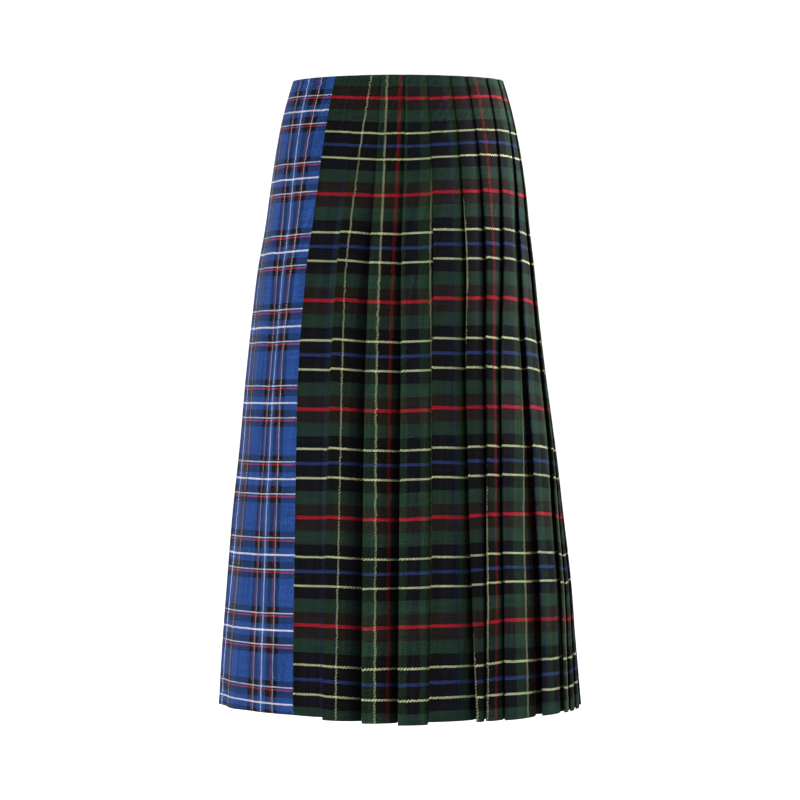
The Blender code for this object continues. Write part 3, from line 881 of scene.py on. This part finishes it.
def threadMaterial(name, colour, raised):
    # Spun yarn: darker and lighter fibres with a fine twist
    material = bpy.data.materials.new(name)
    material.use_nodes = True
    w = Wiring(material.node_tree)
    shader = material.node_tree.nodes["Principled BSDF"]
    fibre = w.node("ShaderNodeTexNoise")
    w.feed(fibre.inputs["Vector"], w.node("ShaderNodeTexCoord").outputs["Object"])
    fibre.inputs["Scale"].default_value = 2600.0
    fibre.inputs["Detail"].default_value = 2.0
    w.feed(shader.inputs["Base Color"],
           w.mix("MIX", fibre.outputs["Fac"], linear(colour), linear([c * 1.7 for c in colour])))
    bump = w.node("ShaderNodeBump")
    bump.inputs["Strength"].default_value = raised
    bump.inputs["Distance"].default_value = 0.0001
    w.feed(bump.inputs["Height"], fibre.outputs["Fac"])
    w.feed(shader.inputs["Normal"], bump.outputs[0])
    shader.inputs["Roughness"].default_value = 0.7
    shader.inputs["Sheen Weight"].default_value = 0.1
    return material


def makeSewing(front, back):
    # Rows of stitches at the top edge, the hem and the zip's tape, and the zip's coil
    thread = threadMaterial("dark thread", (30, 36, 32), 0.4)
    tree = rowTree("row of stitches", stitchShape,
                   {"Spacing": 0.003, "Stitch Length": 0.0025, "Thread Radius": 0.0002, "Unevenness": 0.05})
    out = sewing["threadRadius"] * 0.5
    made = []
    for name, row, spacing, length in (
            ("topStitches", rowAt(sewing["topDrop"]), sewing["topSpacing"], sewing["topStitch"]),
            ("hemStitches", rowAt(cloth["length"] - sewing["hemRise"]),
             sewing["hemSpacing"], sewing["hemStitch"])):
        paths = [innerRow(front, row, out), innerRow(back, row, out), blueRow(row, out)]
        made.append(rowAlong(name, tree, paths, {
            "Spacing": spacing, "Stitch Length": length, "Thread Radius": sewing["threadRadius"],
            "Unevenness": sewing["unevenness"], "Seed": 11}, thread))
    drops = (zipInside["start"], zipInside["end"])
    inset = zipInside["tapeInset"] + zipInside["stitchInset"]
    sides = [alongSeam(drops, side * zipInside["tapeStitchAt"], inset) for side in (-1, 1)]
    made.append(rowAlong("zipTapeStitches", tree, sides, {
        "Spacing": zipInside["stitchSpacing"], "Stitch Length": zipInside["stitch"],
        "Thread Radius": sewing["threadRadius"], "Unevenness": 0.05, "Seed": 5}, thread))
    coilTree = rowTree("zip coil", coilShape,
                       {"Spacing": 0.001, "Coil Size": 0.001, "Wire Radius": 0.0003, "Unevenness": 0.02})
    made.append(rowAlong("zipCoil", coilTree, [alongSeam(drops, 0.0, zipInside["coilInset"])], {
        "Spacing": zipInside["coilPitch"], "Coil Size": zipInside["coilSize"],
        "Wire Radius": zipInside["coilWire"], "Unevenness": 0.02, "Seed": 3},
        threadMaterial("dark nylon", (52, 54, 58), 0.1)))
    for piece in made:
        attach(piece, "skirt")


def makeTape():
    # The zip's two tapes as one narrow strip behind the coil
    across = np.linspace(-1.0, 1.0, zipInside["tapeColumns"]) * zipInside["tapeHalf"]
    drops = (zipInside["tapeStart"], zipInside["end"] + zipInside["tapePast"])
    strip = np.stack([alongSeam(drops, x, zipInside["tapeInset"]) for x in across], axis=1)
    down = np.linalg.norm(np.diff(strip[:, 0], axis=0), axis=-1)
    v = np.concatenate([[0.0], np.cumsum(down)])
    place = np.stack(np.broadcast_arrays(across[None, :], v[:, None]), axis=-1)
    mesh = meshFromGrid("zipTape", strip, (place[:, :-1], place[:, 1:]), np.ones(strip.shape[:2]))
    woven = threadMaterial("dark tape", (17, 19, 21), 0.6)
    sheet = finishCloth("zipTape", mesh, woven, zipInside["tapeThickness"])
    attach(sheet, "skirt")


makeSewing(frontCloth, backCloth)
makeTape()
print("sewing made")

enamel = enamelMaterial()
for node in ("zip_slider", "zip_pull"):
    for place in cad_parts[node].material_slots:
        place.material = enamel

# The room: a pale floor well below the hem, even light, soft lights from the front right and
# the front left, and a small one on the right hip
room = {
    "floorHeight": -1.05,
    "floorSides": ((-14, 14), (-8, 20)),
    "floorGlow": 0.85,
    "airLight": 0.26, "airSeen": 1.1,     # how bright the air lights, and how bright it looks
    # name, place, what it points at, width, power, spread in degrees
    "lights": (("right light", (2.9, -1.1, 2.3), (0, 0, -0.3), 1.2, 105, 180),
               ("left light", (-2.8, -1.7, 1.0), (0, 0, -0.4), 1.2, 62, 180),
               ("hip light", (1.8, 0.7, 0.75), (0.14, 0, -0.04), 0.5, 6, 40)),
    "cameraAt": (0.0025, -4.0, -0.274), "cameraDown": 1.79, "lens": 144, "sensor": 36,
}


def makeFloor():
    (left, right), (near, far) = room["floorSides"]
    corners = ((left, near), (right, near), (right, far), (left, far))
    mesh = bpy.data.meshes.new("floor")
    mesh.from_pydata([(*corner, room["floorHeight"]) for corner in corners], [], [(0, 1, 2, 3)])
    floor = bpy.data.objects.new("floor", mesh)
    bpy.context.scene.collection.objects.link(floor)
    pale = bpy.data.materials.new("pale floor")
    pale.use_nodes = True
    shader = pale.node_tree.nodes["Principled BSDF"]
    shader.inputs["Base Color"].default_value = (0.95, 0.95, 0.95, 1)
    shader.inputs["Roughness"].default_value = 1.0
    shader.inputs["Emission Color"].default_value = (1, 1, 1, 1)
    shader.inputs["Emission Strength"].default_value = room["floorGlow"]
    mesh.materials.append(pale)


def makeAir():
    world = bpy.data.worlds.new("studio")
    bpy.context.scene.world = world
    world.use_nodes = True
    w = Wiring(world.node_tree)
    background = world.node_tree.nodes["Background"]
    background.inputs["Color"].default_value = (1, 1, 1, 1)
    seen = w.node("ShaderNodeLightPath").outputs["Is Camera Ray"]
    w.feed(background.inputs["Strength"], w.spread(seen, 0.0, 1.0, room["airLight"], room["airSeen"]))


def softLight(name, place, target, size, power, spread):
    data = bpy.data.lights.new(name, "AREA")
    data.size = size
    data.energy = power
    data.spread = math.radians(spread)
    lamp = bpy.data.objects.new(name, data)
    lamp.location = place
    lamp.rotation_euler = (Vector(target) - Vector(place)).to_track_quat("-Z", "Y").to_euler()
    bpy.context.scene.collection.objects.link(lamp)


makeFloor()
makeAir()
for light in room["lights"]:
    softLight(*light)

camera = bpy.data.objects.new("camera", bpy.data.cameras.new("camera"))
camera.data.lens = room["lens"]
camera.data.sensor_width = room["sensor"]
camera.location = room["cameraAt"]
camera.rotation_euler = (math.radians(90 - room["cameraDown"]), 0, 0)
bpy.context.scene.collection.objects.link(camera)
bpy.context.scene.camera = camera
bpy.context.scene.view_settings.view_transform = "Standard"
print("room made")
